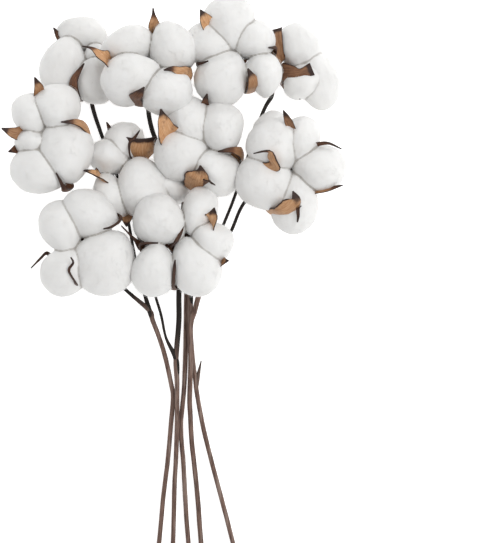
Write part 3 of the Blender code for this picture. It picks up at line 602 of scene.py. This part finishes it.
def valveSection(sides, bow, thick, seamHeight):
    # (side, lift, inner, bulge) round one section: the outer face, an edge, the inner face
    # with its seam, and the other edge
    outer = [(side, bow * side * side, 0.0, 0.0) for side in sides]
    inner = [(side, bow * side * side + thick
              + seamHeight * math.exp(-(side / husk["seamWidth"]) ** 2), 1.0, 0.0)
             for side in reversed(sides)]
    edges = [(side, bow + thick / 2, 0.0, husk["edgeBulge"]) for side in (1.0, -1.0)]
    return [*outer, edges[0], *inner, edges[1]]


def addValve(bm, valve, place, seed, marks):
    tone, twist, *points = valve
    placeLayer, grainLayer = marks
    columns = husk["columns"]
    sides = [2 * i / (columns - 1) - 1 for i in range(columns)]
    way = valveWay(points)
    across = Vector((-way[0].y, way[0].x, 0))
    rings = []
    for i, spot in enumerate(way):
        before, after = way[max(i - 1, 0)], way[min(i + 1, len(way) - 1)]
        onward = (after.xyz - before.xyz).normalized()
        across = (across - onward * across.dot(onward)).normalized()
        along = i / (len(way) - 1)
        turn = math.radians(twist) * eased(along, *husk["twisting"])
        sideways = Matrix.Rotation(turn, 3, onward) @ across
        inward = onward.cross(sideways)
        half = max(spot.w, husk["narrowest"]) / 2
        half *= 1 + husk["wave"] * noise.noise(
            Vector((i * husk["wavePitch"], seed, points[0][0])))
        bow = husk["cupping"] * half * 2
        broad = eased(spot.w, *husk["darkens"])
        thick = min(husk["thick"] + husk["thicken"] * spot.w, husk["thickest"])
        ring = []
        for side, lift, inner, bulge in valveSection(sides, bow, thick,
                                                     husk["seam"] * (1 - along)):
            reach = half * side + math.copysign(bulge, side)
            vert = bm.verts.new(place @ (spot.xyz + inward * lift + sideways * reach))
            shade = (tone - husk["outerDark"] * (1 - inner)) * broad + broad - 1
            vert[placeLayer] = Vector((side, along, shade))
            vert[grainLayer] = Vector((half * side, i * husk["step"], seed + points[0][0]))
            ring.append(vert)
        rings.append(ring)
    skinRings(bm, rings)


def addCup(bm, place, seed, marks):
    # the receptacle under the valves, round, with shallow lobes
    placeLayer, grainLayer = marks
    sides, pitch = husk["cupSides"], husk["cupRoughPitch"]
    rings = []
    for radius, height in husk["cup"]:
        ring = []
        for i in range(sides):
            angle = math.tau * i / sides
            x, y = math.cos(angle), math.sin(angle)
            reach = radius * (1 + husk["lobing"] * math.cos(husk["lobes"] * angle))
            reach += husk["cupRough"] * noise.noise(Vector((x * pitch, y * pitch, seed)))
            vert = bm.verts.new(place @ Vector((x * reach, y * reach, height)))
            vert[placeLayer] = Vector((0, 0, 0))
            vert[grainLayer] = Vector((angle * husk["cupGrain"], radius + height, seed))
            ring.append(vert)
        rings.append(ring)
    skinRings(bm, rings)


def makeHusk(key, finish):
    boll = bolls[key]
    bm = bmesh.new()
    marks = (bm.verts.layers.float_vector.new("valvePlace"),
             bm.verts.layers.float_vector.new("valveGrain"))
    place = bollPlace(boll)
    addCup(bm, place, int(key), marks)
    for valve in boll["valves"]:
        addValve(bm, valve, place, int(key), marks)
    bmesh.ops.recalc_face_normals(bm, faces=bm.faces)
    piece = makeObject("husk_shell_" + key, bm, finish)
    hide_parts("husk_" + key)
    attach(piece, "root")


# Each stalk: its way from the cut end to its fork, then the ways on to two bolls.
# A point is (x, y, z, radius). A spur is a short dead twig.
stalks = {
    "1": dict(stalk=((-24.2, -186, 1.3, 1.5), (-15.1, -90, 3.4, 1.5), (-12.6, -63, 4.3, 1.5),
                     (-9.8, -40, 5.4, 1.5), (-8.0, -20, 6.4, 1.5), (-6.4, 0, 7.4, 1.5),
                     (-7.6, 9, 7.9, 1.5), (-11.3, 26, 8.7, 1.5), (-15.1, 38.5, 9.3, 1.5),
                     (-19.5, 50, 9.8, 1.6), (-21.4, 56, 10.0, 1.6)),
              ways={"09": ((-32.8, 66, 13, 1.2), (-41, 73.7, 17, 1.1), (-51, 85, 23.5, 1.3)),
                    "01": ((-25.5, 70, 9, 1.1), (-30.2, 87, 7.5, 1.0), (-39.1, 132, 4, 1.0),
                           (-51, 165, 3, 1.2), (-58.3, 187.7, 3.6, 1.4))}),
    "2": dict(stalk=((-9.5, -192, 1.3, 1.5), (-6.3, -90, 3.6, 1.5), (-5.5, -57, 5.2, 1.5),
                     (-4.6, -40, 6.6, 1.5), (-3.8, -17, 9.0, 1.5), (-3.8, -1.3, 10.6, 1.5),
                     (-3.8, 11, 11.5, 1.6), (-4.4, 25, 12.0, 1.7)),
              ways={"02": ((-2.6, 50, 12, 1.7), (-2.5, 69, 11, 1.7), (-0.6, 100, 9, 1.7),
                           (0, 132, 8, 1.6), (-8, 150, 8.2, 1.5), (-17.6, 165.7, 10, 1.5),
                           (-21.8, 182, 16, 1.5), (-20.8, 195, 26, 1.6)),
                    "05": ((-10.7, 38.4, 13, 0.9), (-13.9, 53, 13, 0.9), (-17.9, 66.5, 12.5, 0.9),
                           (-27, 98, 11, 0.9), (-35.9, 126, 9, 0.9), (-51.7, 151, 10, 1.0),
                           (-66, 159.5, 12.5, 1.3), (-76, 163.5, 16, 1.5))}),
    "3": dict(stalk=((11, -180, 1.3, 1.5), (3.2, -90, 3.6, 1.5), (1.7, -69, 4.2, 1.5),
                     (0.3, -43, 5.0, 1.5), (-0.9, -29, 5.6, 1.5), (-1.4, -17, 6.2, 1.5),
                     (-0.4, -5.7, 7.1, 1.5), (0.7, 6.3, 7.7, 1.5), (1.5, 25, 6.2, 1.6),
                     (1.9, 44, 5.0, 1.6), (2.3, 67, 4.6, 1.6), (3.2, 78, 4.6, 1.6)),
              ways={"07": ((4.2, 110, 6.5, 1.3), (5.0, 128, 9.5, 1.3), (8.5, 143, 16, 1.4)),
                    "03": ((8, 105, 3.6, 1.2), (12.5, 150, 4, 1.2), (15, 190, 8, 1.3),
                           (23, 204, 13, 1.5))}),
    "4": dict(stalk=((19.5, -188, 1.4, 1.6), (11.3, -90, 4.0, 1.6), (9.8, -69, 4.8, 1.6),
                     (7.6, -46, 6.0, 1.6), (5.7, -29, 7.4, 1.6), (4.7, -11, 9.0, 1.6),
                     (4.3, 0, 9.9, 1.6), (5.0, 24, 11.9, 1.6), (4.9, 46, 12.5, 1.7),
                     (7.6, 56, 12.5, 1.7), (11.3, 70, 12.2, 1.7), (15.5, 84, 12, 1.7)),
              ways={"08": ((24, 96, 13, 1.3), (30.9, 107, 14.5, 1.1), (39.1, 124.7, 19, 1.1),
                           (54, 137, 27, 1.3)),
                    "04": ((20.5, 98, 10.5, 1.1), (26.5, 112.5, 9, 1.0), (34, 131.7, 7.5, 1.0),
                           (50.4, 180.8, 11, 1.2), (57, 194, 17, 1.4))}),
    "5": dict(stalk=((52, -174, 1.3, 1.5), (31.2, -90, 3.6, 1.5), (25.8, -69, 4.4, 1.5),
                     (18.9, -43, 5.4, 1.5), (13.2, -20, 6.4, 1.5), (9.2, 1.3, 7.3, 1.5),
                     (8.0, 11, 7.8, 1.5), (6.6, 22, 8.3, 1.5), (5.1, 40, 8.7, 1.5),
                     (5.0, 56, 9.5, 1.5), (4.9, 66, 11, 1.5)),
              ways={"10": ((4.2, 78, 17, 1.4), (1.8, 90, 26.5, 1.4)),
                    "06": ((2, 78, 15.2, 1.2), (-9, 98, 16.5, 1.1), (-21, 124, 14, 1.2))},
              spur=((8.6, 7, 7.6, 1.3), (9.6, 14, 7.8, 1.3), (11.7, 24, 8.6, 0.35))),
}
# Bark turns from brown to near black over a stretch round a fork, and charring says how far
# the stretch reaches before and past it.
bark = dict(step=1.6, sides=18, relief=0.22, rough=700.0, roughStretch=(1.0, 0.1, 1.0),
            rootShares=(0.45, 0.8, 1.0),   # of its radius, where a second way leaves a stalk
            leadIn=((5.0, 1.6), (2.2, 1.8), (0.1, 2.4)),   # depth under a husk, radius
            charring=(30, 40), spurCharred=6.0, cutReach=1.5, cutFacing=0.9)


def leadIn(boll):
    place = bollPlace(boll)
    return tuple((*(place @ Vector((0, 0, -depth))), radius) for depth, radius in bark["leadIn"])


def barkTree():
    # a round twig along each line, with the long ridges of dried bark
    tree, given = startTree("barkedTwigs", "Ways", "Twigs", Sides="Int", Relief="Float",
                            Finish="Material")
    line = addNode(tree, "GeometryNodeMeshToCurve", {"Mesh": given["Ways"]})
    girth = addNode(tree, "GeometryNodeInputNamedAttribute", {"Name": "girth"})
    ring = addNode(tree, "GeometryNodeCurvePrimitiveCircle",
                   {"Resolution": given["Sides"], "Radius": 1.0})
    tube = addNode(tree, "GeometryNodeCurveToMesh",
                   {"Curve": line.outputs[0], "Profile Curve": ring.outputs[0],
                    "Scale": girth.outputs[0], "Fill Caps": True})
    spot = addNode(tree, "GeometryNodeInputPosition").outputs[0]
    rough = noiseNode(tree, stretched(tree, spot, bark["roughStretch"]),
                      Scale=bark["rough"], Detail=2.0)
    lift = mathNode(tree, "MULTIPLY", mathNode(tree, "SUBTRACT", rough, 0.5), given["Relief"])
    normal = addNode(tree, "GeometryNodeInputNormal").outputs[0]
    ridged = addNode(tree, "GeometryNodeSetPosition",
                     {"Geometry": tube.outputs[0], "Offset": scaled(tree, normal, lift)})
    real = addNode(tree, "GeometryNodeRealizeInstances", {"Geometry": ridged.outputs[0]})
    endTree(tree, withMaterial(tree, real.outputs[0], given["Finish"]))
    return tree


def lineWays(bm, ways):
    # the lines that the twigs grow along, with their girth and how charred they are
    girth = bm.verts.layers.float.new("girth")
    charred = bm.verts.layers.float.new("charred")
    early, late = bark["charring"]
    for points, darkAt in ways:
        run, before = 0.0, None
        for spot in smoothWay(points, bark["step"]):
            vert = bm.verts.new(spot.xyz)
            if before:
                run += (vert.co - before.co).length
                bm.edges.new((before, vert))
            vert[girth] = spot.w * mm
            vert[charred] = eased(run, darkAt - early, darkAt + late)
            before = vert


def bareCut(mesh, foot, cutWood):
    # the flat end at the foot shows the wood
    mesh.materials.append(cutWood)
    end = Vector(((foot[0] + pinch[0]) * mm, (foot[1] + pinch[1]) * mm))
    for polygon in mesh.polygons:
        near = (polygon.center.xy - end).length < bark["cutReach"] * mm
        if near and abs(polygon.normal.y) > bark["cutFacing"]:
            polygon.material_index = len(mesh.materials) - 1
            polygon.use_smooth = False


def makeStalk(key, finish, cutWood, twigs):
    stem = stalks[key]
    stalk = stem["stalk"]
    (first, firstWay), (second, secondWay) = stem["ways"].items()
    forkLength = sum((Vector(b[:3]) - Vector(a[:3])).length for a, b in zip(stalk, stalk[1:]))
    rootWay = tuple((*point[:3], point[3] * share)
                    for point, share in zip(stalk[-3:], bark["rootShares"]))
    ways = [(stalk + firstWay + leadIn(bolls[first]), forkLength),
            (rootWay + secondWay + leadIn(bolls[second]), 0.0)]
    if "spur" in stem:
        ways.append((stem["spur"], bark["spurCharred"]))
    bm = bmesh.new()
    lineWays(bm, ways)
    piece = makeObject("stalk_" + key, bm, finish)
    grow = piece.modifiers.new("Twigs", "NODES")
    grow.node_group = twigs
    setInputs(grow, dict(Sides=bark["sides"], Relief=bark["relief"] * mm, Finish=finish))
    mesh = applyModifiers(piece)
    rest(mesh)
    mesh.shade_smooth()
    bareCut(mesh, stalk[0], cutWood)
    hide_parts("stem_" + key)
    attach(piece, "root")


# Lengths are in metres, and the sensor's in millimetres.
studio = dict(centre=(0.04155, 0.04965), height=2.6, level=0.05, viewHeight=0.342,
              sensor=24.0, farthest=20.0,
              floorSize=6.0, floorDrop=0.0002, floor=(0.95, 0.95, 0.945, 1), glow=0.62,
              world=0.65, keyPlace=(0.85, 0.55, 2.0), keySize=1.3, keyPower=24.0)


def makeRoom(scene):
    world = bpy.data.worlds.new("softRoom")
    world.use_nodes = True
    sky = world.node_tree.nodes["Background"]
    sky.inputs["Color"].default_value = (1, 1, 1, 1)
    sky.inputs["Strength"].default_value = studio["world"]
    scene.world = world


def makeKeyLamp(scene):
    lamp = bpy.data.lights.new("keyLamp", "AREA")
    lamp.size = studio["keySize"]
    lamp.energy = studio["keyPower"]
    key = bpy.data.objects.new("keyLamp", lamp)
    key.location = studio["keyPlace"]
    aim = Vector((*studio["centre"], 0)) - key.location
    key.rotation_euler = aim.to_track_quat("-Z", "Y").to_euler()
    scene.collection.objects.link(key)


def makeFloor(scene):
    bm = bmesh.new()
    bmesh.ops.create_grid(bm, x_segments=1, y_segments=1, size=studio["floorSize"] / 2)
    mesh = bpy.data.meshes.new("floor")
    bm.to_mesh(mesh)
    bm.free()
    paleFloor = startMaterial("paleFloor", Roughness=0.9, Specular_IOR_Level=0.1,
                              Emission_Color=(1, 1, 1, 1), Emission_Strength=studio["glow"],
                              Base_Color=studio["floor"])[0]
    mesh.materials.append(paleFloor)
    floor = bpy.data.objects.new("floor", mesh)
    floor.location.z = -studio["floorDrop"]
    scene.collection.objects.link(floor)


def makeView(scene):
    # straight down, and viewHeight high at the level of the bolls
    camera = bpy.data.cameras.new("camera")
    camera.sensor_fit = "VERTICAL"
    camera.sensor_height = studio["sensor"]
    distance = studio["height"] - studio["level"]
    camera.lens = studio["sensor"] * distance / studio["viewHeight"]
    camera.clip_end = studio["farthest"]
    view = bpy.data.objects.new("camera", camera)
    view.location = (*studio["centre"], studio["height"])
    scene.collection.objects.link(view)
    scene.camera = view
    scene.view_settings.view_transform = "Standard"


def makeStudio():
    scene = bpy.context.scene
    makeRoom(scene)
    makeKeyLamp(scene)
    makeFloor(scene)
    makeView(scene)


makeStudio()
print("studio ready")
cutWood = cutWoodMaterial()
barkSkin = barkMaterial()
twigs = barkTree()
for key in stalks:
    makeStalk(key, barkSkin, cutWood, twigs)
print("stalks ready")
huskSkin = huskMaterial()
for key in bolls:
    makeHusk(key, huskSkin)
print("husks ready")
lintSkin = lintMaterial()
# the node tree for the painted crease shade on the lint
creaseShadeMarks = creaseShadeTree()
fluffs = wispTree()
for key in bolls:
    makeCotton(key, lintSkin, creaseShadeMarks, fluffs)
print("cotton ready")
